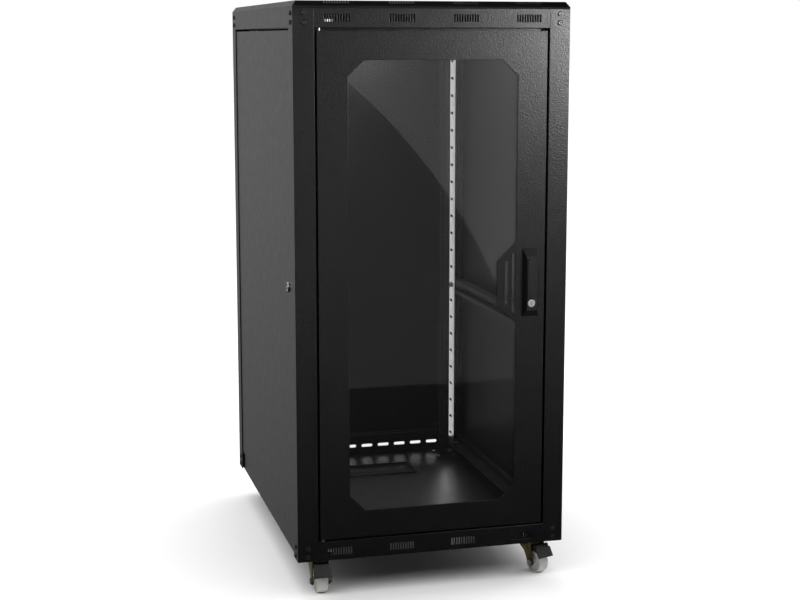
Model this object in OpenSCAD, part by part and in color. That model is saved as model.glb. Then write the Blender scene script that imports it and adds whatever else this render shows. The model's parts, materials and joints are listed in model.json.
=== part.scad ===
// Floor-standing 19-inch network cabinet on four casters.
// X runs across the front, Y from front to back and Z up. The origin is the
// centre of the footprint, on the floor.
//
// Most modules work in corner coordinates: u inward from a side plane,
// v inward from the front or rear plane, z up from the underside of the frame.

/* [Cabinet] */
// Width over the corner posts
cab_w = 600; // [600:5:620]
// Depth over the corner posts
cab_d = 800; // [700:50:1000]
// Height of the equipment space, in rack units
units = 24; // [18:1:42]
// Height of the frame's underside above the floor
base_z = 79; // [79:1:90]

/* [Frame] */
// Sheet thickness of posts, beams and rails
sheet = 2; // [1.5:0.1:2]
// Face width of a corner post
post_w = 45; // [44:1:46]
// Height of the upper beams, and of the lower front and side beams
beam_h = 40; // [40:1:44]
// Height of the lower rear beam
rear_beam_h = 51; // [50:1:54]
// Height of the sloped roof cap
cap_h = 15; // [12:1:18]
// Distance from the front plane to the front rails
front_rail_v = 100; // [80:5:140]
// Distance from the rear plane to the rear rails
rear_rail_v = 80; // [80:5:140]

/* [Doors] */
// Gap around doors and side panels
gap = 5; // [4:0.5:5]
// Depth of the folded edges of a door
door_t = 18; // [16:1:18]
// Width of the upright edges around the window
stile_w = 65; // [60:1:70]
// Width of the upper and lower edges around the window
rail_w = 60; // [55:1:70]
// Size of the window's cut corners
corner_cut = 34; // [20:1:40]
// How far the handle's tongue reaches into the window
tongue = 42.5; // [30:0.5:45]

/* [Casters] */
// Wheel diameter
wheel_d = 50; // [48:1:50]
// Wheel width
wheel_w = 24; // [22:1:26]
// Horizontal distance from swivel axis to axle
trail = 27; // [25:1:28]
// Swivel angle of the front right caster, away from straight ahead
front_right_swivel = 20; // [0:1:30]

/* [Hidden] */
$fn = 48;
cut = 1;                                  // overrun of a cutting shape

// Frame
unit_h = 44.45;
rail_margin = 11.6;                       // rail length above and below the units
low_h = beam_h + 2;                       // height of the lower front and side beams
body_h = low_h + units * unit_h + 2 * rail_margin + beam_h;
jamb_d = 24;                              // depth of a post's return behind a door
stop_w = 12;                              // width of the door stop behind a door
tab_start = 6;                            // where a beam's end tab begins
flange_w = 50;                            // width of the side beams' flanges
shelf_d = 95;                             // depth of the lower beams' bottom flanges
low_recess = 5;                           // setback of the lower side beams
screw_zs = [10, 29, body_h - 29, body_h - 10];
screw_u = post_w / 2;
m6_r = 3;
m6_hole_r = 3.2;
m10_hole_r = 5.25;
plinth_u = 150;                           // plinth holes, from the side
plinth_v = 47.5;                          // plinth holes, from the front or rear
slot_len = 30;
slot_w = 8;
slot_pitch = 45;
vent_count = 10;
vent_pitch = 5.6;
vent_w = 3.2;
vent_h = 15.5;
vent_group = 69.2;                        // half the distance between vent groups

// Rails and braces
rail_open = 450.85;
hole_spacing = 465.1;                     // across the rails, between hole columns
rail_u = 48;                              // outer face of a rail's depth flange
rail_in_u = (cab_w - rail_open) / 2;      // inner edge of a rail
foot_bolt_u = flange_w - 15;                // bolts that hold the rails' feet
rail_depth = 49;
rail_bolt = 20;                           // from a rail's face back to its bolts
square_hole = 9.5;
foot_u = 22;
brace_z = 454;
brace_h = 36;
brace_u = 24;

// Doors and panels
skin = 1.5;                               // sheet thickness of doors and panels
lip = 12;                                 // width of the lip behind a folded edge
door_u = post_w + gap;
door_w = cab_w - 2 * door_u;
door_z = low_h + gap - 1;
door_top = body_h - beam_h - gap - 1;
rear_door_z = rear_beam_h + gap - 1;
hinge_u = door_u + 6;
hinge_v = 8;
hinge_r = 3;
panel_face_u = 2;                         // setback of a side panel's face
panel_z = low_h + gap;
panel_top = body_h - beam_h - gap;
mid_z = body_h / 2;
glass_t = 4;
glass_v = 2.5;
glass_lap = 12;
window_u = [door_u + stile_w, cab_w - door_u - stile_w];
window_z = [door_z + rail_w, door_top - rail_w];
tongue_z = [mid_z - 87, mid_z + 92];      // where the tongue leaves the window's edge

// Handle
handle_u = cab_w - door_u - 32.5;
base_w = 37;
base_z0 = mid_z - 72;
base_len = 149;
base_top = 14.6;                          // where the slopes beside the lever end
base_rise = 8;                            // under the lever's swing
key_rise = 10.5;                          // around the key cylinder
head_r = 11;                              // pocket around the lever's round head
lever_w = 19.5;
lever_pivot_z = base_z0 + 119.75;
lever_end_z = base_z0 + 40;
lever_v = -15;                            // outer face of the lever
lever_t = 6.8;
pin_v = -11;                              // axis on which the lever lifts
key_z = base_z0 + 29.6;
key_r = 8.3;
cam_v = 26;                               // front face of a latch cam
cam_t = 3;
cam_reach = cab_w - post_w - stop_w - handle_u - 1;

// Panel and rear locks
lock_r = 11;
plug_r = 8;
lock_out = 4;                             // how far a lock stands out of its panel
panel_lock_v = 82;

// Casters
caster_u = 55;
caster_v = 56;
axle_z = wheel_d / 2 - base_z;            // from the underside of the frame
axle_r = 4;
plate_w = 60;
plate_t = 2.5;
plate_hole = 22;                          // bolt offset from the swivel axis
kingpin_r = 5;
leg_in = 17.5;
leg_t = 2.5;
pedal_w = 33;
flap_w = 40;                              // width of the pedal's front flap
pedal_pivot = [-14, -24];                 // y and z from the swivel axis
rear_left_swivel = 160;
rear_right_swivel = 195;

// The handle stands out further in front than the rear lock does behind
y_mid = (-lever_v - lock_out) / 2;

steel = [0.09, 0.09, 0.1];
zinc = [0.72, 0.73, 0.74];

// ---------------------------------------------------------------- placing

module flip_x(on) {
    if (on) mirror([1, 0, 0]) children();
    else children();
}

module flip_y(on) {
    if (on) mirror([0, 1, 0]) children();
    else children();
}

// Corner coordinates of one corner of the cabinet
module corner(right = false, rear = false) {
    translate([0, y_mid, base_z])
        flip_x(right) flip_y(rear)
            translate([-cab_w / 2, -cab_d / 2, 0]) children();
}

// A lower beam drawn the other way up, under the roof
module under_roof() {
    translate([0, 0, body_h]) mirror([0, 0, 1]) children();
}

// A flat outline in u and z, made into a plate that starts at v
module upright(v, t) {
    translate([0, v + t, 0]) rotate([90, 0, 0]) linear_extrude(t) children();
}

// A flat outline in v and z, made into a plate that starts at u
module sideways(u, t) {
    translate([u, 0, 0]) rotate([90, 0, 90]) linear_extrude(t) children();
}

module drill_u(u, v, z, r, length) {
    translate([u, v, z]) rotate([0, 90, 0]) cylinder(r = r, h = length);
}

module drill_v(u, v, z, r, length) {
    translate([u, v, z]) rotate([-90, 0, 0]) cylinder(r = r, h = length);
}

// A slot with round ends along the first axis, centred
module slot2d(length, width) {
    square([length - width, width], center = true);
    for (side = [-1, 1])
        translate([side * (length - width) / 2, 0]) circle(d = width);
}

// ---------------------------------------------------------------- frame

module post_profile_returns() {
    for (swap = [false, true])
        rotate(swap ? 90 : 0) flip_y(swap) {
            translate([post_w - sheet, 0]) square([sheet, jamb_d]);
            translate([post_w - sheet, jamb_d - sheet]) square([stop_w + sheet, sheet]);
        }
}

module post(return_z) {
    color(steel) difference() {
        union() {
            linear_extrude(body_h) {
                square([post_w, sheet]);
                square([sheet, post_w]);
            }
            translate([0, 0, return_z])
                linear_extrude(body_h - beam_h - return_z) {
                    square([post_w, sheet]);
                    square([sheet, post_w]);
                    post_profile_returns();
                }
        }
        for (z = screw_zs) {
            drill_v(screw_u, -cut, z, m6_hole_r, sheet + 2 * cut);
            drill_u(-cut, screw_u, z, m6_hole_r, sheet + 2 * cut);
        }
        drill_u(jamb_d - sheet - cut, post_w + 5, brace_z + brace_h / 2, m6_hole_r,
            sheet + 2 * cut);
    }
}

module vent_row(height) {
    for (i = [0 : vent_count - 1])
        translate([(i - (vent_count - 1) / 2) * vent_pitch, 0])
            square([vent_w, height], center = true);
}

module vent_groups(z) {
    for (k = [-3, -1, 1, 3])
        translate([cab_w / 2 + k * vent_group, z]) vent_row(vent_h);
}

module slot_row(z, count) {
    for (k = [-count : count])
        translate([cab_w / 2 + k * slot_pitch, z]) slot2d(slot_len, slot_w);
}

// Front or rear beam as it lies at the bottom: a face, a flange under the
// floor or roof, and a door stop. The child is what is cut from the face.
module cross_beam(h, flange_d) {
    color(steel) difference() {
        union() {
            upright(0, sheet) difference() {
                translate([post_w, 0]) square([cab_w - 2 * post_w, h]);
                children();
            }
            translate([flange_w, 0, 0]) cube([cab_w - 2 * flange_w, flange_d, sheet]);
            translate([post_w, 0, h - sheet]) cube([cab_w - 2 * post_w, jamb_d, sheet]);
            translate([post_w + stop_w + 1, jamb_d - sheet, h - sheet])
                cube([cab_w - 2 * (post_w + stop_w + 1), sheet, stop_w + sheet]);
            for (u = [tab_start, cab_w - post_w - sheet])
                translate([u, sheet, 4])
                    cube([post_w - tab_start + sheet, sheet, h - 8]);
        }
        for (u = [screw_u, cab_w - screw_u], z = [10, 29])
            drill_v(u, sheet - cut, z, m6_r, sheet + 2 * cut);
        for (u = [hinge_u, cab_w - hinge_u])
            translate([u, hinge_v, h - sheet - cut])
                cylinder(r = hinge_r + 0.05, h = sheet + 2 * cut);
        if (flange_d == shelf_d) {
            for (u = [plinth_u, cab_w - plinth_u])
                translate([u, plinth_v, -cut]) cylinder(r = m10_hole_r, h = sheet + 2 * cut);
            for (u = [caster_u + plate_hole, cab_w - caster_u - plate_hole])
                for (side = [-1, 1])
                    translate([u, caster_v + side * plate_hole, -cut])
                        cylinder(r = m6_hole_r, h = sheet + 2 * cut);
        }
    }
}

// Side beam as it lies at the bottom; face_u is its setback
module side_beam(face_u, web_h) {
    color(steel) difference() {
        union() {
            translate([face_u, post_w, 0]) cube([sheet, cab_d - 2 * post_w, web_h]);
            translate([low_recess, 5, 0])
                cube([flange_w - low_recess, cab_d - 10, sheet]);
            translate([face_u, post_w, 0])
                cube([flange_w - face_u, cab_d - 2 * post_w, sheet]);
            translate([face_u, post_w, low_h - sheet - (face_u == 0 ? 2 : 0)])
                cube([flange_w - face_u, cab_d - 2 * post_w, sheet]);
            for (v = [tab_start, cab_d - post_w - sheet])
                translate([sheet, v, 4])
                    cube([sheet, post_w - tab_start + sheet, beam_h - 8]);
            for (v = [post_w, cab_d - post_w - sheet])
                translate([face_u == 0 ? 0 : sheet, v, 4])
                    cube([low_recess, sheet, beam_h - 8]);
        }
        for (v = [screw_u, cab_d - screw_u], z = [10, 29])
            drill_u(sheet - cut, v, z, m6_r, sheet + 2 * cut);
        for (v = [front_rail_v + rail_bolt, cab_d - rear_rail_v - rail_bolt])
            translate([foot_bolt_u, v, beam_h - 2 * sheet - cut])
                linear_extrude(2 * sheet + 2 + 2 * cut)
                    rotate(90) slot2d(slot_len, slot_w - 1);
        for (v = [caster_v, cab_d - caster_v], side = [-1, 1])
            translate([caster_u - plate_hole, v + side * plate_hole, -cut])
                cylinder(r = m6_hole_r, h = sheet + 2 * cut);
    }
}

module depth_brace() {
    length = cab_d - 2 * post_w;
    color(steel) translate([0, post_w, brace_z]) difference() {
        union() {
            translate([brace_u, 0, 0]) cube([sheet, length, brace_h]);
            for (z = [0, brace_h - sheet])
                translate([brace_u, stop_w + sheet, z])
                    cube([rail_u - brace_u, length - 2 * (stop_w + sheet), sheet]);
            for (z = [0, brace_h - 10])
                translate([rail_u - sheet, stop_w + sheet, z])
                    cube([sheet, length - 2 * (stop_w + sheet), 10]);
        }
        sideways(brace_u - cut, sheet + 2 * cut)
            for (k = [-6 : 6])
                translate([length / 2 + k * slot_pitch, brace_h / 2]) slot2d(slot_len, slot_w);
        for (v = [5, length - 5])
            drill_u(brace_u - cut, v, brace_h / 2, m6_hole_r, sheet + 2 * cut);
    }
}

// A 19-inch rail whose face lies at distance v from the front or rear plane
module mounting_rail(v) {
    rail_z = low_h;
    rail_h = body_h - beam_h - low_h;
    bolt_v = v + rail_bolt;
    hole_u = (cab_w - hole_spacing) / 2;
    color([0.14, 0.14, 0.15]) difference() {
        union() {
            upright(v, sheet) difference() {
                translate([rail_u, rail_z]) square([rail_in_u - rail_u, rail_h]);
                for (i = [0 : units - 1], rise = [6.35, 22.225, 38.1])
                    translate([hole_u, rail_z + rail_margin + i * unit_h + rise])
                        square(square_hole, center = true);
            }
            sideways(rail_u, sheet) difference() {
                translate([v, rail_z]) square([rail_depth, rail_h]);
                for (i = [0 : units - 1])
                    translate([bolt_v, rail_z + rail_margin + (i + 0.5) * unit_h])
                        slot2d(20, 7);
            }
            for (z = [rail_z, rail_z + rail_h - sheet])
                translate([foot_u, v, z]) cube([rail_u - foot_u + 1, rail_depth, sheet]);
        }
        for (z = [rail_z, rail_z + rail_h - sheet])
            translate([foot_bolt_u, bolt_v, z - cut])
                cylinder(r = m6_hole_r, h = sheet + 2 * cut);
        drill_u(rail_u - cut, bolt_v, brace_z + brace_h / 2, m6_hole_r, sheet + 2 * cut);
    }
}

// Outlines of the cable openings in the floor and the roof
cable_u = [176, 424];
cable_v = [cab_d - 207, cab_d - 117];
roof_cable_v = [cab_d - 150, cab_d - 70];

module floor_panel() {
    hem = 4;
    opening = [cable_u[1] - cable_u[0], cable_v[1] - cable_v[0]];
    color(steel) difference() {
        union() {
            translate([8, 5, sheet]) cube([cab_w - 16, cab_d - 10, sheet]);
            translate([cable_u[0] - hem, cable_v[0] - hem, sheet])
                cube([opening[0] + 2 * hem, opening[1] + 2 * hem, sheet + hem]);
        }
        translate([cable_u[0], cable_v[0], 0]) cube([opening[0], opening[1], 20]);
        for (u = [plinth_u, cab_w - plinth_u], v = [plinth_v, cab_d - plinth_v])
            translate([u, v, sheet - cut]) cylinder(r = m10_hole_r, h = sheet + 2 * cut);
        for (u = [caster_u, cab_w - caster_u], v = [caster_v, cab_d - caster_v])
            for (du = [-1, 1], dv = [-1, 1])
                translate([u + du * plate_hole, v + dv * plate_hole, sheet - cut])
                    cylinder(r = m6_hole_r, h = sheet + 2 * cut);
    }
}

// ---------------------------------------------------------------- roof

// A shallow pyramid with an upright rim: size at the rim, then inset above it
module sloped_block(size_u, size_v, rim, height, inset_u, inset_v) {
    intersection() {
        upright(0, size_v)
            polygon([[0, 0], [size_u, 0], [size_u, rim], [size_u - inset_u, height],
                [inset_u, height], [0, rim]]);
        sideways(0, size_u)
            polygon([[0, 0], [size_v, 0], [size_v, rim], [size_v - inset_v, height],
                [inset_v, height], [0, rim]]);
    }
}

fan_size = 120;
fan_spacing = 105;
fan_hole_r = 2.15;
fan_opening = [300, 140];
fan_v = cab_d * 0.44;
fan_us = [cab_w / 2 - 75, cab_w / 2 + 75];

module roof_cap() {
    color(steel) translate([0, 0, body_h]) difference() {
        sloped_block(cab_w, cab_d, 4, cap_h, 8, 8);
        translate([skin, skin, -cut])
            sloped_block(cab_w - 2 * skin, cab_d - 2 * skin, 4, cap_h - skin + cut, 8, 8);
        translate([(cab_w - fan_opening[0]) / 2, fan_v - fan_opening[1] / 2, 0])
            cube([fan_opening[0], fan_opening[1], 2 * cap_h]);
        translate([cable_u[0], roof_cable_v[0], 0])
            cube([cable_u[1] - cable_u[0], roof_cable_v[1] - roof_cable_v[0], 2 * cap_h]);
        translate([0, 0, 2]) linear_extrude(2 * cap_h)
            for (k = [-3, -1, 1, 3])
                translate([cab_w / 2 + k * vent_group, 18]) vent_row(26);
        for (u = [60, cab_w - 60], v = [40, cab_d - 40])
            translate([u, v, cap_h - 4]) cylinder(r = m6_hole_r, h = 8);
    }
}

module roof_fan_plate() {
    plate = [fan_opening[0] + 30, fan_opening[1] + 30];
    slot_count = 11;
    grille_r = 54;
    color(steel) translate([0, 0, body_h + cap_h - skin - sheet]) linear_extrude(sheet)
        difference() {
            translate([(cab_w - plate[0]) / 2, fan_v - plate[1] / 2]) square(plate);
            for (u = fan_us) translate([u, fan_v]) {
                for (i = [0 : slot_count - 1]) {
                    x = (i - (slot_count - 1) / 2) * 9;
                    translate([x, 0]) rotate(90)
                        slot2d(2 * sqrt(grille_r * grille_r - x * x) - 2, 5);
                }
                for (dx = [-1, 1], dy = [-1, 1])
                    translate([dx, dy] * fan_spacing / 2) circle(r = fan_hole_r);
            }
        }
}

// Plate that closes a cable opening from below, with a pad that fills it
module cable_cover(opening_v) {
    lap = 12;
    size = [cable_u[1] - cable_u[0], opening_v[1] - opening_v[0]];
    translate([cable_u[0] - lap, opening_v[0] - lap, 0]) {
        cube([size[0] + 2 * lap, size[1] + 2 * lap, sheet]);
        translate([lap + 1, lap + 1, sheet]) cube([size[0] - 2, size[1] - 2, skin]);
    }
}

module cable_covers() {
    color(steel) {
        translate([0, 0, body_h + cap_h - skin - sheet]) cable_cover(roof_cable_v);
        cable_cover(cable_v);
    }
}

// ---------------------------------------------------------------- fasteners

// Button-head socket screw; the head's underside is at z = 0, shank below
module socket_screw(shank) {
    difference() {
        union() {
            cylinder(r = 5.5, h = 1.2);
            translate([0, 0, 1.2]) cylinder(r1 = 5.5, r2 = 4.2, h = 1.6);
        }
        translate([0, 0, 0.8]) cylinder(r = 2.3, h = 3, $fn = 6);
    }
    translate([0, 0, -shank]) cylinder(r = m6_r - 0.05, h = shank + 0.5);
}

// Hexagon bolt with its nut; grip is the thickness it clamps
module bolt_and_nut(grip) {
    cylinder(r = 5.5, h = 4, $fn = 6);
    translate([0, 0, -grip - 6]) cylinder(r = m6_r - 0.05, h = grip + 6.5);
    translate([0, 0, -grip - 4.5]) cylinder(r = 5.5, h = 4.5, $fn = 6);
}

module corner_screws() {
    color([0.12, 0.12, 0.13])
        for (right = [false, true], rear = [false, true]) corner(right, rear) {
            for (z = screw_zs) {
                translate([screw_u, 0, z]) rotate([90, 0, 0]) socket_screw(6);
                translate([0, screw_u, z]) rotate([0, -90, 0]) socket_screw(6);
            }
        }
}

module rail_bolts(v) {
    bolt_v = v + rail_bolt;
    for (top = [false, true])
        translate([foot_bolt_u, bolt_v, top ? body_h - beam_h - sheet : low_h + sheet])
            rotate([top ? 180 : 0, 0, 0]) bolt_and_nut(2 * sheet);
    translate([rail_u + sheet, bolt_v, brace_z + brace_h / 2]) rotate([0, 90, 0]) {
        cylinder(r = 5.5, h = 4, $fn = 6);
        translate([0, 0, -10]) cylinder(r = m6_r - 0.05, h = 10.5);
        translate([-brace_h / 2 + 4, -8, -2 * sheet - 5]) cube([brace_h - 8, 16, 5]);
    }
}

module zinc_bolts() {
    color(zinc) for (right = [false, true]) {
        corner(right, false) rail_bolts(front_rail_v);
        corner(right, true) rail_bolts(rear_rail_v);
        for (rear = [false, true]) corner(right, rear) {
            translate([jamb_d - sheet, post_w + 5, brace_z + brace_h / 2])
                rotate([0, -90, 0]) {
                    cylinder(r = 5.5, h = 2.5, $fn = 6);
                    translate([0, 0, -8]) cylinder(r = m6_r - 0.05, h = 8.5);
                    translate([0, 0, -8]) cylinder(r = 5.5, h = 4, $fn = 6);
                }
            for (du = [-1, 1], dv = [-1, 1])
                translate([caster_u + du * plate_hole, caster_v + dv * plate_hole, -plate_t])
                    rotate([180, 0, 0]) bolt_and_nut(plate_t + 2 * sheet);
        }
    }
}

// Pins on which a door turns: one in each cross beam beside the door
module door_pins(beam_top, door_bottom) {
    translate([hinge_u, hinge_v, 0]) {
        translate([0, 0, beam_top - 8]) cylinder(r = hinge_r, h = 8 + gap + 18);
        translate([0, 0, beam_top]) cylinder(r = 5.5, h = door_bottom - beam_top - 0.2);
        translate([0, 0, door_top - 18]) cylinder(r = hinge_r, h = 18 + gap + 8);
        translate([0, 0, body_h - beam_h + sheet]) cylinder(r = 5.5, h = 4);
    }
}

module hinge_pins() {
    color(zinc) {
        corner() door_pins(low_h, door_z);
        corner(true, true) door_pins(rear_beam_h, rear_door_z);
    }
}

// ---------------------------------------------------------------- doors and panels

// Folded tray in u and z: a skin with deep edges and lips behind them.
// The children are the holes in the skin.
module tray(size_u, size_z, depth) {
    difference() {
        cube([size_u, depth, size_z]);
        translate([skin, skin, skin])
            cube([size_u - 2 * skin, depth - 2 * skin, size_z - 2 * skin]);
        translate([lip, skin, lip]) cube([size_u - 2 * lip, depth, size_z - 2 * lip]);
        upright(-cut, skin + 2 * cut) children();
    }
}

// Window with cut corners; grow widens it on every side
module window2d(grow) {
    c = corner_cut;
    u0 = window_u[0] - grow;
    u1 = window_u[1] + grow;
    z0 = window_z[0] - grow;
    z1 = window_z[1] + grow;
    polygon([[u0 + c, z0], [u1 - c, z0], [u1, z0 + c], [u1, z1 - c],
        [u1 - c, z1], [u0 + c, z1], [u0, z1 - c], [u0, z0 + c]]);
}

module tongue2d() {
    u1 = window_u[1];
    polygon([[u1 + cut, tongue_z[0] - cut], [u1 - tongue, tongue_z[0] + tongue],
        [u1 - tongue, tongue_z[1] - tongue], [u1 + cut, tongue_z[1] + cut]]);
}

module tongue_slots2d() {
    u1 = window_u[1];
    middle = (tongue_z[0] + tongue_z[1]) / 2;
    translate([u1 - 24.5, middle - 48]) square([8, 95]);
    translate([u1 - 9, middle - 65]) square([7.5, 129]);
}

module front_door_frame() {
    color(steel) corner() difference() {
        translate([door_u, 0, door_z])
            tray(door_w, door_top - door_z, door_t)
                translate([-door_u, -door_z]) {
                    difference() {
                        window2d(0);
                        tongue2d();
                    }
                    tongue_slots2d();
                    translate([handle_u, lever_pivot_z]) circle(r = 7);
                    translate([handle_u, key_z]) circle(r = key_r + 0.7);
                }
        translate([hinge_u, hinge_v, door_z - cut])
            cylinder(r = hinge_r + 0.5, h = door_top - door_z + 2 * cut);
    }
}

module glass2d() {
    translate([window_u[0] - glass_lap, window_z[0] - glass_lap])
        square([window_u[1] - window_u[0] + 2 * glass_lap,
            window_z[1] - window_z[0] + 2 * glass_lap]);
}

module front_door_glass() {
    color([0.25, 0.28, 0.3, 0.4]) corner() upright(glass_v, glass_t) glass2d();
}

module glass_seal() {
    color([0.05, 0.05, 0.05]) corner() upright(skin, glass_v - skin) difference() {
        glass2d();
        window2d(3);
    }
}

// Clip that holds the glass: a foot on the door, a step, and a pad on the
// glass. Drawn in the plane across the glass's edge, which lies at x = 0.
module glass_clip() {
    back = glass_v + glass_t - skin;
    width = 20;
    translate([0, 0, -width / 2]) linear_extrude(width)
        polygon([[-9, 0], [-0.1, 0], [-0.1, back], [8, back], [8, back + 1.5],
            [-1.6, back + 1.5], [-1.6, 1.5], [-9, 1.5]]);
    translate([-5, 1, 0]) rotate([-90, 0, 0]) cylinder(r = 3.4, h = 4, $fn = 6);
}

module glass_clips() {
    edge_u = [window_u[0] - glass_lap, window_u[1] + glass_lap];
    edge_z = [window_z[0] - glass_lap, window_z[1] + glass_lap];
    length = edge_z[1] - edge_z[0];
    color(zinc) corner() translate([0, skin, 0]) {
        for (part = [0.1, 0.36, 0.7, 0.92]) {
            translate([edge_u[0], 0, edge_z[0] + part * length]) glass_clip();
            translate([edge_u[1], 0, edge_z[0] + part * length])
                mirror([1, 0, 0]) glass_clip();
        }
        for (u = [cab_w * 0.36, cab_w * 0.64]) {
            translate([u, 0, edge_z[0]]) rotate([0, -90, 0]) glass_clip();
            translate([u, 0, edge_z[1]]) rotate([0, 90, 0]) glass_clip();
        }
    }
}

// Blocks inside a door's hinge edge, bored for the pins
module hinge_blocks(z_low) {
    block = [10, 9, 20];
    color(zinc) for (z = [z_low + skin, door_top - skin - block[2]]) difference() {
        translate([door_u + skin, hinge_v - block[1] / 2, z]) cube(block);
        translate([hinge_u, hinge_v, z - cut])
            cylinder(r = hinge_r + 0.05, h = block[2] + 2 * cut);
    }
}

module front_hinge_blocks() {
    corner() hinge_blocks(door_z);
}

module rear_hinge_blocks() {
    corner(true, true) hinge_blocks(rear_door_z);
}

module side_panel() {
    length = cab_d - 2 * (post_w + gap);
    color([0.12, 0.12, 0.13])
        translate([panel_face_u, post_w + gap + length, panel_z]) rotate(-90)
            tray(length, panel_top - panel_z, door_t - 2)
                translate([length + post_w + gap - panel_lock_v, mid_z - panel_z])
                    circle(r = lock_r - 1.8);
}

module rear_door_panel() {
    color(steel) corner(true, true) difference() {
        translate([door_u, 0, rear_door_z])
            tray(door_w, door_top - rear_door_z, door_t)
                translate([handle_u - door_u, mid_z - rear_door_z])
                    circle(r = lock_r - 1.8);
        translate([hinge_u, hinge_v, rear_door_z - cut])
            cylinder(r = hinge_r + 0.5, h = door_top - rear_door_z + 2 * cut);
    }
}

// ---------------------------------------------------------------- locks

// Locks are drawn along +z: the panel's outer face is at z = 0, inside is +z
module lock_housing() {
    color(zinc) difference() {
        union() {
            translate([0, 0, -2]) cylinder(r = lock_r, h = 2);
            translate([0, 0, -lock_out]) cylinder(r1 = lock_r - 1.5, r2 = lock_r, h = 2);
            cylinder(r = lock_r - 2, h = 18);
        }
        translate([0, 0, -lock_out - cut])
            cylinder(r = plug_r + 0.05, h = lock_out + 18 + 2 * cut);
    }
}

// Plug with a key slot and a cam that points along +x
module lock_plug(cam_depth, reach) {
    color(zinc) {
        difference() {
            translate([0, 0, -lock_out + 0.8]) cylinder(r = plug_r, h = lock_out + cam_depth);
            translate([-1.2, -4.5, -lock_out]) cube([2.4, 9, 5]);
        }
        translate([0, 0, cam_depth]) linear_extrude(cam_t) {
            circle(r = 9);
            translate([0, -7]) square([reach, 14]);
        }
    }
}

module place_side_lock() {
    translate([panel_face_u, panel_lock_v, mid_z]) rotate([0, 90, 0]) rotate(-90) children();
}

module place_rear_lock() {
    translate([handle_u, 0, mid_z]) rotate([-90, 0, 0]) children();
}

module side_lock_plug() {
    place_side_lock() lock_plug(23, panel_lock_v - post_w - stop_w - 1);
}

module rear_lock_plug() {
    corner(true, true) place_rear_lock() lock_plug(cam_v, cam_reach);
}

// ---------------------------------------------------------------- handle

module place_handle(z) {
    corner() translate([handle_u, 0, z]) rotate([90, 0, 0]) children();
}

// In place_handle's children x runs right, y up and z out of the door. The
// slopes end beside the lever, except where it swings out to the right.
module handle_base() {
    mid = base_z0 + base_len / 2;
    pivot = lever_pivot_z - mid;
    key = key_z - mid;
    swing_y = lever_end_z - mid - 1;
    color([0.1, 0.1, 0.1]) place_handle(mid) difference() {
        translate([-base_w / 2, -base_len / 2, 0])
            sloped_block(base_w, base_len, 1.2, base_top, 6.5, 19.5);
        translate([-head_r, swing_y, base_rise])
            cube([base_w, pivot - swing_y, base_top]);
        translate([0, swing_y, base_rise])
            cube([base_w, pivot + head_r - swing_y, base_top]);
        translate([-head_r, -base_len / 2, key_rise])
            cube([base_w, base_len / 2 + swing_y + cut, base_top]);
        translate([0, pivot, 1.5]) cylinder(r = head_r, h = 20);
        translate([-9.8, lever_end_z - mid + 4, 2]) cube([19.6, 44, 20]);
        translate([0, pivot, -cut]) cylinder(r = 5.1, h = 20);
        translate([0, key, -cut]) cylinder(r = key_r + 0.05, h = 20);
    }
}

// Spindle that turns in the base, with the ear and pin the lever lifts on
module handle_hub() {
    ear = [8, 5.2];
    pin_z = -pin_v;
    color(zinc) place_handle(lever_pivot_z) {
        translate([0, 0, 1.7]) cylinder(r = 9.8, h = 1.3);
        translate([0, 0, -cam_v - cam_t - 1]) cylinder(r = 5, h = cam_v + cam_t + 3);
        translate([0, 0, -cam_v - cam_t - 5]) cylinder(r = 8, h = 5, $fn = 6);
        translate([-ear[0] / 2, -ear[1] / 2, 2]) cube([ear[0], ear[1], pin_z - 2]);
        translate([-ear[0] / 2, 0, pin_z]) rotate([0, 90, 0])
            cylinder(d = ear[1], h = ear[0]);
        translate([-7, 0, pin_z]) rotate([0, 90, 0]) cylinder(r = 1.25, h = 14);
    }
}

module latch_cam() {
    color(zinc) place_handle(lever_pivot_z) translate([0, 0, -cam_v - cam_t])
        linear_extrude(cam_t) difference() {
            union() {
                circle(r = 9);
                translate([0, -9]) square([cam_reach, 18]);
            }
            circle(r = 5.05);
        }
}

module handle_lever() {
    length = lever_pivot_z - lever_end_z;
    pin_z = -pin_v;
    slot = 8.6;
    color([0.12, 0.12, 0.12]) place_handle(lever_pivot_z) difference() {
        translate([0, 0, -lever_v - lever_t]) linear_extrude(lever_t) {
            circle(d = lever_w);
            translate([-lever_w / 2, -length]) square([lever_w, length]);
        }
        translate([-slot / 2, 0, pin_z]) rotate([0, 90, 0]) cylinder(r = 3.1, h = slot);
        translate([-slot / 2, -3.1, 0]) cube([slot, 20, pin_z]);
        translate([-7.2, 0, pin_z]) rotate([0, 90, 0]) cylinder(r = 1.3, h = 14.4);
    }
}

module key_cylinder() {
    color(zinc) place_handle(key_z) difference() {
        translate([0, 0, -6]) cylinder(r = key_r, h = 17.5);
        translate([-1.1, -4.5, 8.5]) cube([2.2, 9, 5]);
    }
}

// ---------------------------------------------------------------- casters

// Caster coordinates: origin on the swivel axis at the frame's underside,
// the wheel trails towards -y before the swivel turn
module caster(right, rear, swivel) {
    translate([(right ? 1 : -1) * (cab_w / 2 - caster_u),
        y_mid + (rear ? 1 : -1) * (cab_d / 2 - caster_v), base_z])
        rotate(swivel) children();
}

race_z = plate_t + 3.5;                   // underside of the fixed race
head_z = 14;                              // underside of the fork's head

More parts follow.
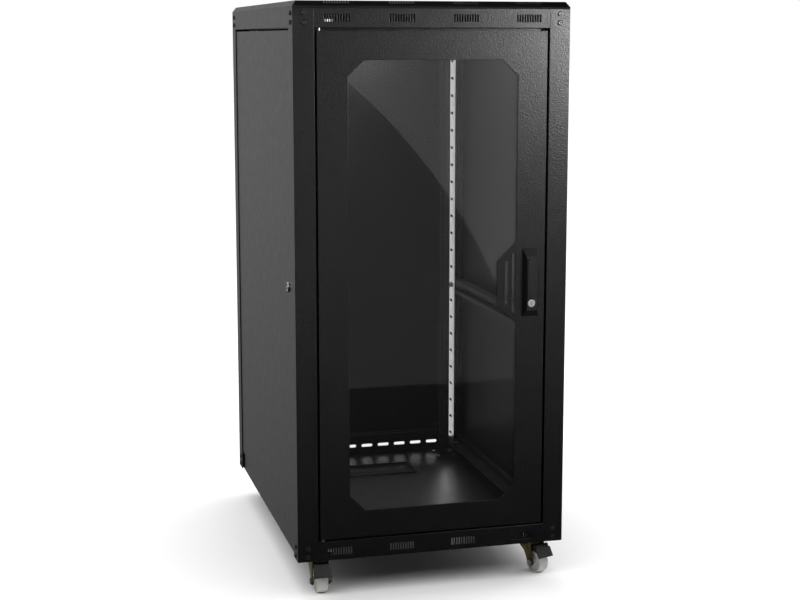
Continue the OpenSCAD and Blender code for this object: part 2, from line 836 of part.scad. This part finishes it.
module caster_plates() {
    color([0.75, 0.66, 0.4])
        for (right = [false, true], rear = [false, true]) caster(right, rear, 0) {
            difference() {
                translate([-plate_w / 2, -plate_w / 2, -plate_t])
                    cube([plate_w, plate_w, plate_t]);
                for (du = [-1, 1], dv = [-1, 1])
                    translate([du * plate_hole, dv * plate_hole, -plate_t - cut])
                        cylinder(r = m6_hole_r, h = plate_t + 2 * cut);
            }
            translate([0, 0, -race_z]) cylinder(r1 = 19, r2 = 23, h = race_z - plate_t);
            translate([0, 0, -head_z - 1]) cylinder(r = kingpin_r, h = head_z);
            translate([0, 0, -head_z - 3.2]) cylinder(r = 8, h = 3);
        }
}

// Side view of a fork leg, in y and z
module leg2d() {
    difference() {
        union() {
            polygon([[20, -race_z - 1], [-24, -race_z - 1], [-trail - 9, axle_z + 2],
                [-trail + 9, axle_z - 2], [-4, axle_z + 22], [18, -head_z - 4]]);
            translate([-trail, axle_z]) circle(r = 9);
        }
        translate([-trail, axle_z]) circle(r = axle_r + 0.05);
        translate(pedal_pivot) circle(r = 2.05);
    }
}

module fork() {
    color([0.75, 0.66, 0.4]) {
        difference() {
            union() {
                translate([0, 0, -head_z]) cylinder(r = 24, h = 3);
                translate([0, 0, -head_z + 3])
                    cylinder(r1 = 24, r2 = 20, h = head_z - race_z - 3.3);
            }
            translate([0, 0, -head_z - cut])
                cylinder(r = kingpin_r + 0.05, h = head_z + 2 * cut);
        }
        for (side = [0, 1])
            sideways(side ? leg_in : -leg_in - leg_t, leg_t) leg2d();
    }
}

module axle() {
    reach = leg_in + leg_t;
    color(zinc) translate([0, -trail, axle_z]) rotate([0, 90, 0]) {
        translate([0, 0, -reach - 1]) cylinder(r = axle_r, h = 2 * reach + 6);
        translate([0, 0, -reach - 4]) cylinder(r = 6.8, h = 4, $fn = 6);
        translate([0, 0, reach]) cylinder(r = 6.8, h = 4, $fn = 6);
    }
}

module wheel() {
    r = wheel_d / 2;
    w = wheel_w / 2;
    color([0.9, 0.9, 0.88]) translate([0, -trail, axle_z]) rotate([0, 90, 0])
        rotate_extrude()
            polygon([[axle_r + 0.06, -w - 3], [9, -w - 3], [9, -w + 2], [r - 6, -w + 2],
                [r - 5, -w], [r - 1.5, -w], [r, -w + 3.5], [r, w - 3.5], [r - 1.5, w],
                [r - 5, w], [r - 6, w - 2], [9, w - 2], [9, w + 3], [axle_r + 0.06, w + 3]]);
}

// Brake pedal: a bent hood over the wheel, on a cross pin between the legs
module pedal() {
    tip = [-trail - wheel_d / 2 - 6, -38];
    color([0.08, 0.08, 0.08]) {
        sideways(-pedal_w / 2, pedal_w)
            polygon([[-10, -19], [-16, -14.5], [-37, -14.5], [-38.5, -11.5],
                [-43, -11.5], [-45, -16], tip + [0, 1.5], tip, tip + [3, 0],
                [-42.5, -17.5], [-20, -17.5], [-18, -21], [-18, -26], [-10, -26]]);
        sideways(-flap_w / 2, flap_w)
            polygon([[-46.5, -18.4], tip + [0, 1.5], tip, tip + [3, 0], [-45.2, -22]]);
        for (side = [-1, 1])
            translate([side > 0 ? pedal_w / 2 - 2 : -pedal_w / 2, 0, 0]) sideways(0, 2)
                polygon([[-10, -19], [-16, -14.5], [-44, -14.5], tip + [0, 1.5], tip,
                    tip + [3, 0], [-49, -29], [-30, -26.5], [-10, -26]]);
        translate([-leg_in - leg_t, pedal_pivot[0], pedal_pivot[1]]) rotate([0, 90, 0])
            cylinder(r = 2, h = 2 * (leg_in + leg_t));
    }
}

// ---------------------------------------------------------------- assembly

corner() post(low_h);  // post_front_left
corner(true) post(low_h);  // post_front_right
corner(false, true) post(rear_beam_h);  // post_rear_left
corner(true, true) post(rear_beam_h);  // post_rear_right
corner() under_roof() cross_beam(beam_h, 60) vent_groups(beam_h / 2);  // front_top_beam
corner() cross_beam(low_h, shelf_d) vent_groups(low_h / 2 - 2);  // front_bottom_beam
corner(false, true) under_roof() cross_beam(beam_h, 60) vent_groups(beam_h / 2);  // rear_top_beam
corner(false, true) cross_beam(rear_beam_h, shelf_d) slot_row(27.5, 5);  // rear_bottom_beam
corner() under_roof() side_beam(0, beam_h);  // left_top_beam
corner(true) under_roof() side_beam(0, beam_h);  // right_top_beam
corner() side_beam(low_recess, panel_z);  // left_bottom_beam
corner(true) side_beam(low_recess, panel_z);  // right_bottom_beam
corner() depth_brace();  // left_depth_brace
corner(true) depth_brace();  // right_depth_brace
corner() mounting_rail(front_rail_v);  // rail_front_left
corner(true) mounting_rail(front_rail_v);  // rail_front_right
corner(false, true) mounting_rail(rear_rail_v);  // rail_rear_left
corner(true, true) mounting_rail(rear_rail_v);  // rail_rear_right
corner() floor_panel();
corner() roof_cap();
corner() roof_fan_plate();
corner() cable_covers();
corner_screws();
zinc_bolts();
hinge_pins();
caster_plates();
front_door_frame();
front_door_glass();
glass_seal();
glass_clips();
front_hinge_blocks();
handle_base();
handle_hub();
latch_cam();
handle_lever();
key_cylinder();
corner() side_panel();  // left_side_panel
corner() place_side_lock() lock_housing();  // left_lock_housing
corner() side_lock_plug();  // left_lock_plug
corner(true) side_panel();  // right_side_panel
corner(true) place_side_lock() lock_housing();  // right_lock_housing
corner(true) side_lock_plug();  // right_lock_plug
rear_door_panel();
rear_hinge_blocks();
corner(true, true) place_rear_lock() lock_housing();  // rear_lock_housing
rear_lock_plug();
caster(false, false, 0) fork();  // fork_front_left
caster(false, false, 0) axle();  // axle_front_left
caster(false, false, 0) wheel();  // wheel_front_left
caster(false, false, 0) pedal();  // pedal_front_left
caster(true, false, front_right_swivel) fork();  // fork_front_right
caster(true, false, front_right_swivel) axle();  // axle_front_right
caster(true, false, front_right_swivel) wheel();  // wheel_front_right
caster(true, false, front_right_swivel) pedal();  // pedal_front_right
caster(false, true, rear_left_swivel) fork();  // fork_rear_left
caster(false, true, rear_left_swivel) axle();  // axle_rear_left
caster(false, true, rear_left_swivel) wheel();  // wheel_rear_left
caster(true, true, rear_right_swivel) fork();  // fork_rear_right
caster(true, true, rear_right_swivel) axle();  // axle_rear_right
caster(true, true, rear_right_swivel) wheel();  // wheel_rear_right
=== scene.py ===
# Looks for the rack cabinet: materials, detail pieces, studio and camera, in metres in the shared frame.
import json
import math

import bmesh
import bpy
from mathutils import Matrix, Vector


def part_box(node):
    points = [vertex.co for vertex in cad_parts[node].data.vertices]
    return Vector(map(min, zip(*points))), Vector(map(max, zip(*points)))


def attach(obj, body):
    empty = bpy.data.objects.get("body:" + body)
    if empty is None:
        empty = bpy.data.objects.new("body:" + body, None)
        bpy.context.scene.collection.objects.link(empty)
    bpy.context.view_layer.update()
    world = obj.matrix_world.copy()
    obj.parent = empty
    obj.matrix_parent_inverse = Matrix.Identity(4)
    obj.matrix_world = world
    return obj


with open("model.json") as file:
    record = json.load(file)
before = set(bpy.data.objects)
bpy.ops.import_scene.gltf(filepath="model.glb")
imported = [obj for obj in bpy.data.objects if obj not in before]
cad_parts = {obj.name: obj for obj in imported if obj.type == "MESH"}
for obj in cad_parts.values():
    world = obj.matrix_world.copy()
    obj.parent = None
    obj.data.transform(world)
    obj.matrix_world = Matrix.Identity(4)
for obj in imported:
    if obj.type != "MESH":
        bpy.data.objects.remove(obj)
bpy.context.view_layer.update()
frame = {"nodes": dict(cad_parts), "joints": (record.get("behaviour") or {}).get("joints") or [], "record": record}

nodes = frame["nodes"]


# ---------------------------------------------------------------- shader helpers


class Shader:
    """A material with a Principled shader and short calls to add nodes."""

    def __init__(self, name):
        self.mat = bpy.data.materials.new(name)
        self.mat.use_nodes = True
        self.tree = self.mat.node_tree
        self.bsdf = self.tree.nodes["Principled BSDF"]
        self.coords = self.tree.nodes.new("ShaderNodeTexCoord").outputs["Object"]

    def link(self, a, b):
        self.tree.links.new(a, b)

    def set(self, **values):
        for key, value in values.items():
            self.bsdf.inputs[key.replace("_", " ")].default_value = value

    def noise(self, scale, detail=2.0, rough=0.5):
        node = self.tree.nodes.new("ShaderNodeTexNoise")
        node.inputs["Scale"].default_value = scale
        node.inputs["Detail"].default_value = detail
        node.inputs["Roughness"].default_value = rough
        self.link(self.coords, node.inputs["Vector"])
        return node.outputs["Fac"]

    def ramp(self, fac, stops):
        node = self.tree.nodes.new("ShaderNodeValToRGB")
        ramp = node.color_ramp
        while len(ramp.elements) < len(stops):
            ramp.elements.new(0.5)
        for element, (place, colour) in zip(ramp.elements, stops):
            element.position = place
            element.color = (*colour, 1.0)
        self.link(fac, node.inputs["Fac"])
        return node.outputs["Color"]

    def span(self, fac, low, high):
        node = self.tree.nodes.new("ShaderNodeMapRange")
        node.inputs["From Min"].default_value = 0.3
        node.inputs["From Max"].default_value = 0.7
        node.inputs["To Min"].default_value = low
        node.inputs["To Max"].default_value = high
        self.link(fac, node.inputs["Value"])
        return node.outputs["Result"]

    def soft_edges(self, radius):
        node = self.tree.nodes.new("ShaderNodeBevel")
        node.samples = 4
        node.inputs["Radius"].default_value = radius
        return node.outputs["Normal"]

    def bump(self, height, distance, strength, normal=None):
        node = self.tree.nodes.new("ShaderNodeBump")
        node.inputs["Distance"].default_value = distance
        node.inputs["Strength"].default_value = strength
        self.link(height, node.inputs["Height"])
        if normal:
            self.link(normal, node.inputs["Normal"])
        return node.outputs["Normal"]

    def colour(self, output):
        self.link(output, self.bsdf.inputs["Base Color"])

    def rough(self, output):
        self.link(output, self.bsdf.inputs["Roughness"])

    def normal(self, output):
        self.link(output, self.bsdf.inputs["Normal"])


# ---------------------------------------------------------------- materials


def powder_coat():
    """Fine-textured black powder coat on folded sheet."""
    s = Shader("black_powder_coat")
    s.colour(s.ramp(s.noise(5.0, 3.0), [(0.3, (0.0020, 0.0020, 0.0021)), (0.7, (0.0036, 0.0036, 0.0037))]))
    s.rough(s.span(s.noise(40.0, 4.0, 0.6), 0.30, 0.36))
    s.normal(s.bump(s.noise(330.0, 2.0), 0.0011, 0.48, s.soft_edges(0.002)))
    return s.mat


def rail_coat():
    """Smoother black coat on the mounting rails."""
    s = Shader("rail_black_coat")
    s.colour(s.ramp(s.noise(9.0, 3.0), [(0.3, (0.010, 0.010, 0.011)), (0.7, (0.016, 0.016, 0.017))]))
    s.rough(s.span(s.noise(60.0, 3.0), 0.30, 0.38))
    s.normal(s.bump(s.noise(520.0, 2.0), 0.0004, 0.25, s.soft_edges(0.0008)))
    return s.mat


def black_screw():
    """Black-zinc screws, with bright worn patches scattered at random."""
    s = Shader("black_zinc_screw")
    s.colour(s.ramp(s.noise(300.0, 3.0), [(0.35, (0.035, 0.036, 0.04)), (0.75, (0.14, 0.14, 0.15))]))
    s.rough(s.span(s.noise(500.0, 2.0), 0.22, 0.42))
    s.set(Metallic=0.9)
    s.normal(s.bump(s.noise(900.0, 1.0), 0.0001, 0.3, s.soft_edges(0.0006)))
    return s.mat


def zinc_steel():
    """Bright zinc plate with a faint blue and grey spangle."""
    s = Shader("bright_zinc")
    s.colour(s.ramp(s.noise(140.0, 3.0), [(0.3, (0.42, 0.44, 0.47)), (0.7, (0.66, 0.67, 0.68))]))
    s.rough(s.span(s.noise(220.0, 3.0), 0.26, 0.42))
    s.set(Metallic=1.0)
    s.normal(s.bump(s.noise(700.0, 2.0), 0.0001, 0.3, s.soft_edges(0.0005)))
    return s.mat


def yellow_zinc():
    """Yellow-passivated zinc, whose tint drifts from olive to straw and rose."""
    s = Shader("yellow_zinc")
    s.colour(
        s.ramp(
            s.noise(55.0, 3.0, 0.6),
            [
                (0.25, (0.085, 0.075, 0.035)),
                (0.45, (0.17, 0.145, 0.06)),
                (0.6, (0.27, 0.225, 0.10)),
                (0.78, (0.24, 0.17, 0.11)),
            ],
        )
    )
    s.rough(s.span(s.noise(160.0, 3.0), 0.24, 0.42))
    s.set(Metallic=1.0)
    s.normal(s.bump(s.noise(600.0, 2.0), 0.0001, 0.35, s.soft_edges(0.0007)))
    return s.mat


def lock_chrome():
    """Polished chrome of the key cylinders, brushed lightly."""
    s = Shader("lock_chrome")
    s.colour(s.ramp(s.noise(400.0, 2.0), [(0.3, (0.66, 0.67, 0.69)), (0.7, (0.78, 0.78, 0.79))]))
    s.rough(s.span(s.noise(350.0, 3.0), 0.12, 0.24))
    s.set(Metallic=1.0)
    s.normal(s.bump(s.noise(900.0, 2.0), 0.00005, 0.3, s.soft_edges(0.0005)))
    return s.mat


def tinted_glass():
    """Grey-tinted safety glass, see-through for lamps too."""
    s = Shader("tinted_glass")
    s.set(Base_Color=(0.004, 0.0045, 0.005, 1.0), IOR=1.9, Alpha=0.16)
    s.rough(s.span(s.noise(3.0, 2.0), 0.012, 0.03))
    s.normal(s.bump(s.noise(2.2, 1.0), 0.002, 0.05))
    return s.mat


def seal_rubber():
    """Matt black rubber with a fine moulded skin."""
    s = Shader("seal_rubber")
    s.colour(s.ramp(s.noise(60.0, 3.0), [(0.3, (0.010, 0.010, 0.010)), (0.7, (0.022, 0.021, 0.021))]))
    s.rough(s.span(s.noise(180.0, 3.0), 0.62, 0.8))
    s.normal(s.bump(s.noise(700.0, 2.0), 0.0002, 0.4, s.soft_edges(0.0005)))
    return s.mat


def handle_plastic():
    """Satin black glass-filled nylon of the swing handle."""
    s = Shader("handle_plastic")
    s.colour(s.ramp(s.noise(30.0, 3.0), [(0.3, (0.004, 0.004, 0.0042)), (0.7, (0.0065, 0.0065, 0.007))]))
    s.rough(s.span(s.noise(120.0, 3.0), 0.30, 0.40))
    s.normal(s.bump(s.noise(1400.0, 2.0), 0.0001, 0.35, s.soft_edges(0.0012)))
    return s.mat


def white_nylon():
    """Cast white nylon wheels, slightly scuffed on the tread."""
    s = Shader("white_nylon")
    scuffs = [(0.28, (0.42, 0.41, 0.38)), (0.45, (0.60, 0.60, 0.575)), (0.7, (0.68, 0.68, 0.66))]
    s.colour(s.ramp(s.noise(45.0, 4.0, 0.6), scuffs))
    s.rough(s.span(s.noise(90.0, 3.0), 0.42, 0.60))
    s.set(Subsurface_Weight=0.12, Subsurface_Scale=0.004)
    s.normal(s.bump(s.noise(350.0, 3.0), 0.0003, 0.3, s.soft_edges(0.001)))
    return s.mat


def pedal_plastic():
    """Black moulded brake pedals."""
    s = Shader("pedal_plastic")
    s.colour(s.ramp(s.noise(50.0, 3.0), [(0.3, (0.003, 0.003, 0.003)), (0.7, (0.006, 0.006, 0.006))]))
    s.rough(s.span(s.noise(200.0, 3.0), 0.30, 0.42))
    s.normal(s.bump(s.noise(900.0, 2.0), 0.0002, 0.4, s.soft_edges(0.0008)))
    return s.mat


def paint_nodes():
    """Every CAD node gets its slot's material."""
    made = {
        "black_coat": powder_coat(),
        "rail_coat": rail_coat(),
        "black_screw": black_screw(),
        "zinc_steel": zinc_steel(),
        "yellow_zinc": yellow_zinc(),
        "lock_chrome": lock_chrome(),
        "tinted_glass": tinted_glass(),
        "seal_rubber": seal_rubber(),
        "handle_black": handle_plastic(),
        "white_nylon": white_nylon(),
        "pedal_black": pedal_plastic(),
    }
    for part in frame["record"]["subparts"]:
        obj = nodes[part["node"]]
        obj.data.materials.clear()
        obj.data.materials.append(made[part["material_slot"]])
    return made


# ---------------------------------------------------------------- detail pieces


def place_piece(obj, body, slot):
    """Puts a new piece in the scene, with its slot's material, on its body."""
    obj.data.materials.append(slots[slot])
    bpy.context.scene.collection.objects.link(obj)
    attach(obj, body)


def round_strip(name, points, radius, body, slot):
    """A closed round strip through the points."""
    curve = bpy.data.curves.new(name, "CURVE")
    curve.dimensions = "3D"
    curve.bevel_depth = radius
    curve.bevel_resolution = 3
    spline = curve.splines.new("POLY")
    spline.points.add(len(points) - 1)
    for place, point in zip(spline.points, points):
        place.co = (*point, 1.0)
    spline.use_cyclic_u = True
    place_piece(bpy.data.objects.new(name, curve), body, slot)


def rounded_loop(x0, x1, z0, z1, y, radius):
    """Points of an upright rectangle with round corners."""
    steps = 5
    points = []
    corners = [
        (x1 - radius, z1 - radius, 0),
        (x0 + radius, z1 - radius, 90),
        (x0 + radius, z0 + radius, 180),
        (x1 - radius, z0 + radius, 270),
    ]
    for x, z, start in corners:
        for step in range(steps + 1):
            a = math.radians(start + step * 90 / steps)
            points.append((x + radius * math.cos(a), y, z + radius * math.sin(a)))
    return points


def door_gasket(name, door, front):
    """Soft foam strip just behind the closed door, which stays with the frame."""
    low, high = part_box(door)
    inset = 0.005
    radius = 0.0011
    gap = 0.0003
    corner = 0.006
    y = high.y + radius + gap if front else low.y - radius - gap
    loop = rounded_loop(low.x + inset, high.x - inset, low.z + inset, high.z - inset, y, corner)
    round_strip(name, loop, radius, "frame", "seal_rubber")


def turned_ring(name, profile, centre, body, slot):
    """A ring turned about the vertical: its section is a loop of (radius, height) from the centre."""
    count = 40
    bm = bmesh.new()
    rings = []
    for r, h in profile:
        ring = []
        for i in range(count):
            a = 2 * math.pi * i / count
            ring.append(bm.verts.new(centre + Vector((r * math.cos(a), r * math.sin(a), h))))
        rings.append(ring)
    for ring, above in zip(rings, rings[1:] + rings[:1]):
        for i in range(count):
            j = (i + 1) % count
            bm.faces.new((ring[i], ring[j], above[j], above[i]))
    bmesh.ops.recalc_face_normals(bm, faces=bm.faces)
    for face in bm.faces:
        face.smooth = True
    mesh = bpy.data.meshes.new(name)
    bm.to_mesh(mesh)
    bm.free()
    place_piece(bpy.data.objects.new(name, mesh), body, slot)


def joint_place(name):
    """Where a joint of the frame stands, in metres."""
    return next(joint["pos_m"] for joint in frame["joints"] if joint["name"] == name)


def ball_race(corner):
    """Rolled lip of a caster's swivel race, round the fork's head."""
    fork_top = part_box("fork_" + corner)[1].z
    below_top = 0.0085
    x, y, _ = joint_place("swivel_" + corner)
    section = [
        (0.0236, -0.0008),
        (0.0246, -0.0008),
        (0.0252, 0.0),
        (0.0250, 0.0022),
        (0.0240, 0.0030),
        (0.0236, 0.0022),
    ]
    centre = Vector((x, y, fork_top - below_top))
    turned_ring("race_lip_" + corner, section, centre, "fork_" + corner, "yellow_zinc")


def detail_pieces():
    """The pieces that are too fine for the CAD."""
    door_gasket("front_door_gasket", "front_door_frame", True)
    door_gasket("rear_door_gasket", "rear_door_panel", False)
    for corner in ("front_left", "front_right", "rear_left", "rear_right"):
        ball_race(corner)


# ---------------------------------------------------------------- studio


def stage_material(name, grey, emission):
    """Plain matt grey, which glows white where emission isn't 0."""
    s = Shader(name)
    s.set(Base_Color=(grey, grey, grey, 1.0), Roughness=0.9)
    s.set(Emission_Color=(1.0, 1.0, 1.0, 1.0), Emission_Strength=emission)
    return s.mat


def lit_only(name, objects):
    """A collection that limits a lamp to these objects."""
    group = bpy.data.collections.new(name)
    for obj in objects:
        group.objects.link(obj)
    return group


def all_but(*names):
    """Every CAD node but these."""
    return [obj for name, obj in nodes.items() if name not in names]


def studio_floor():
    """Plain pale floor under the wheels, with a wide soft lamp of its own that keeps it white."""
    bm = bmesh.new()
    bmesh.ops.create_circle(bm, cap_ends=True, radius=60.0, segments=96)
    mesh = bpy.data.meshes.new("studio_floor")
    bm.to_mesh(mesh)
    bm.free()
    floor = bpy.data.objects.new("studio_floor", mesh)
    bpy.context.scene.collection.objects.link(floor)
    mesh.materials.append(stage_material("pale_floor", 0.88, 0.0))
    floor.visible_glossy = False
    wash = bpy.data.lights.new("floor_wash", "SUN")
    wash.energy = 3.9
    wash.angle = math.radians(110.0)
    lamp = bpy.data.objects.new("floor_wash", wash)
    bpy.context.scene.collection.objects.link(lamp)
    lamp.light_linking.receiver_collection = lit_only("only_floor", [floor])


def area_light(name, place, aim, size, power, acts_on=None):
    """A rectangular lamp that the camera doesn't see, and which may act on some objects only."""
    data = bpy.data.lights.new(name, "AREA")
    data.shape = "RECTANGLE"
    data.size, data.size_y = size
    data.energy = power
    obj = bpy.data.objects.new(name, data)
    bpy.context.scene.collection.objects.link(obj)
    obj.location = place
    obj.rotation_mode = "QUATERNION"
    obj.rotation_quaternion = (Vector(aim) - Vector(place)).to_track_quat("-Z", "Y")
    obj.visible_camera = False
    if acts_on:
        obj.light_linking.receiver_collection = lit_only(name + "_receivers", acts_on)
    return obj


def glass_card(name, verts, faces, emission):
    """A glowing sheet in front of the door that only the glass reflects."""
    mesh = bpy.data.meshes.new(name)
    mesh.from_pydata(verts, [], faces)
    card = bpy.data.objects.new(name, mesh)
    bpy.context.scene.collection.objects.link(card)
    mesh.materials.append(stage_material(name + "_glow", 0.5, emission))
    card.visible_camera = False
    card.visible_shadow = False
    card.visible_diffuse = False
    card.light_linking.receiver_collection = lit_only(name + "_on_glass", [nodes["front_door_glass"]])


def arc_points(centre, radius, y, angles):
    """Points on an upright arc in the plane at y; the centre is (x, z)."""
    return [(centre[0] + radius * math.cos(a), y, centre[1] + radius * math.sin(a)) for a in angles]


def studio_cards():
    """A curved reflector beyond the right front edge, and a dim one for the rest of the glass."""
    card_y = -2.2
    centre = (-1.03, -0.44)
    inner_radius, outer_radius = 1.95, 3.6
    angles = [math.radians(a) for a in range(-10, 61, 3)]
    n = len(angles)
    verts = arc_points(centre, inner_radius, card_y, angles)
    verts += arc_points(centre, outer_radius, card_y, angles)
    faces = [(i, i + 1, n + i + 1, n + i) for i in range(n - 1)]
    glass_card("curved_card", verts, faces, 1.1)
    x0, x1, z0, z1 = -1.6, 2.6, -1.4, 2.8
    y = card_y - 0.1
    glass_card("dim_card", [(x0, y, z0), (x1, y, z0), (x1, y, z1), (x0, y, z1)], [(0, 1, 2, 3)], 0.11)


def studio_world():
    """White to the camera and through glass, and dim to everything else, so that black coats stay black."""
    world = bpy.data.worlds.new("studio")
    bpy.context.scene.world = world
    world.use_nodes = True
    tree = world.node_tree
    tree.nodes.clear()
    path = tree.nodes.new("ShaderNodeLightPath")
    seen = tree.nodes.new("ShaderNodeMath")
    seen.operation = "MAXIMUM"
    tree.links.new(path.outputs["Is Camera Ray"], seen.inputs[0])
    tree.links.new(path.outputs["Is Transmission Ray"], seen.inputs[1])
    bright = tree.nodes.new("ShaderNodeBackground")
    bright.inputs["Color"].default_value = (1.0, 1.0, 1.0, 1.0)
    bright.inputs["Strength"].default_value = 1.0
    dim = tree.nodes.new("ShaderNodeBackground")
    coords = tree.nodes.new("ShaderNodeTexCoord")
    ahead = tree.nodes.new("ShaderNodeVectorMath")
    ahead.operation = "DOT_PRODUCT"
    ahead.inputs[1].default_value = (-0.5, 0.8, 0.42)
    tree.links.new(coords.outputs["Generated"], ahead.inputs[0])
    glow = tree.nodes.new("ShaderNodeMapRange")
    glow.interpolation_type = "SMOOTHSTEP"
    glow.inputs["From Min"].default_value = 0.5
    glow.inputs["From Max"].default_value = 1.0
    glow.inputs["To Min"].default_value = 0.03
    glow.inputs["To Max"].default_value = 0.68
    tree.links.new(ahead.outputs["Value"], glow.inputs["Value"])
    tree.links.new(glow.outputs["Result"], dim.inputs["Strength"])
    mix = tree.nodes.new("ShaderNodeMixShader")
    tree.links.new(seen.outputs[0], mix.inputs[0])
    tree.links.new(dim.outputs[0], mix.inputs[1])
    tree.links.new(bright.outputs[0], mix.inputs[2])
    out = tree.nodes.new("ShaderNodeOutputWorld")
    tree.links.new(mix.outputs[0], out.inputs["Surface"])


def studio_lights():
    """Lamps round the cabinet and inside it: name, place, aim, size in metres and power in watts."""
    roof = ("roof_cap", "roof_fan_plate", "cable_covers")
    fronts = all_but("front_door_glass", "rear_door_panel", "floor_panel", *roof)
    key = area_light("key_right", (0.95, -1.4, 1.3), (0.2, -0.39, 1.15), (0.35, 0.35), 17.0, fronts)
    key.visible_diffuse = False
    area_light("soft_left", (-3.0, -0.6, 1.6), (-0.3, 0.0, 0.7), (1.6, 1.8), 8.0)
    area_light("soft_top", (0.0, 0.9, 3.4), (0.0, 0.2, 1.2), (2.0, 2.0), 20.0)
    area_light("soft_right", (3.2, 0.4, 1.5), (0.3, 0.0, 0.7), (2.0, 2.0), 34.0)
    behind = all_but("roof_cap", "left_side_panel")
    area_light("soft_back", (1.4, 3.2, 1.6), (0.0, 0.4, 0.7), (2.2, 2.0), 30.0, behind)
    area_light("soft_inside", (0.0, 0.02, 1.19), (0.0, 0.05, 0.1), (0.36, 0.5), 4.0)
    area_light("inside_rear", (0.02, 0.37, 0.67), (0.02, 0.0, 0.67), (0.48, 1.05), 0.28)
    rail_and_floor = [nodes["rail_rear_right"], nodes["floor_panel"]]
    area_light("rail_glint", (0.241, 0.322, 0.665), (0.241, 0.0, 0.665), (0.018, 1.05), 0.22, rail_and_floor)


def camera():
    """A long lens from the front left, looking slightly down."""
    data = bpy.data.cameras.new("camera")
    data.sensor_width = 36.0
    data.lens = 68.9
    data.shift_y = -0.03
    data.clip_start, data.clip_end = 0.05, 60.0
    obj = bpy.data.objects.new("camera", data)
    bpy.context.scene.collection.objects.link(obj)
    yaw, pitch = math.radians(14.82), math.radians(8.81)
    obj.location = (-0.8936, -3.4915, 1.1887)
    look = Vector((math.sin(yaw) * math.cos(pitch), math.cos(yaw) * math.cos(pitch), -math.sin(pitch)))
    obj.rotation_mode = "QUATERNION"
    obj.rotation_quaternion = look.to_track_quat("-Z", "Y")
    bpy.context.scene.camera = obj


bpy.context.scene.view_settings.view_transform = "Standard"
slots = paint_nodes()
detail_pieces()
studio_floor()
studio_cards()
studio_world()
studio_lights()
camera()
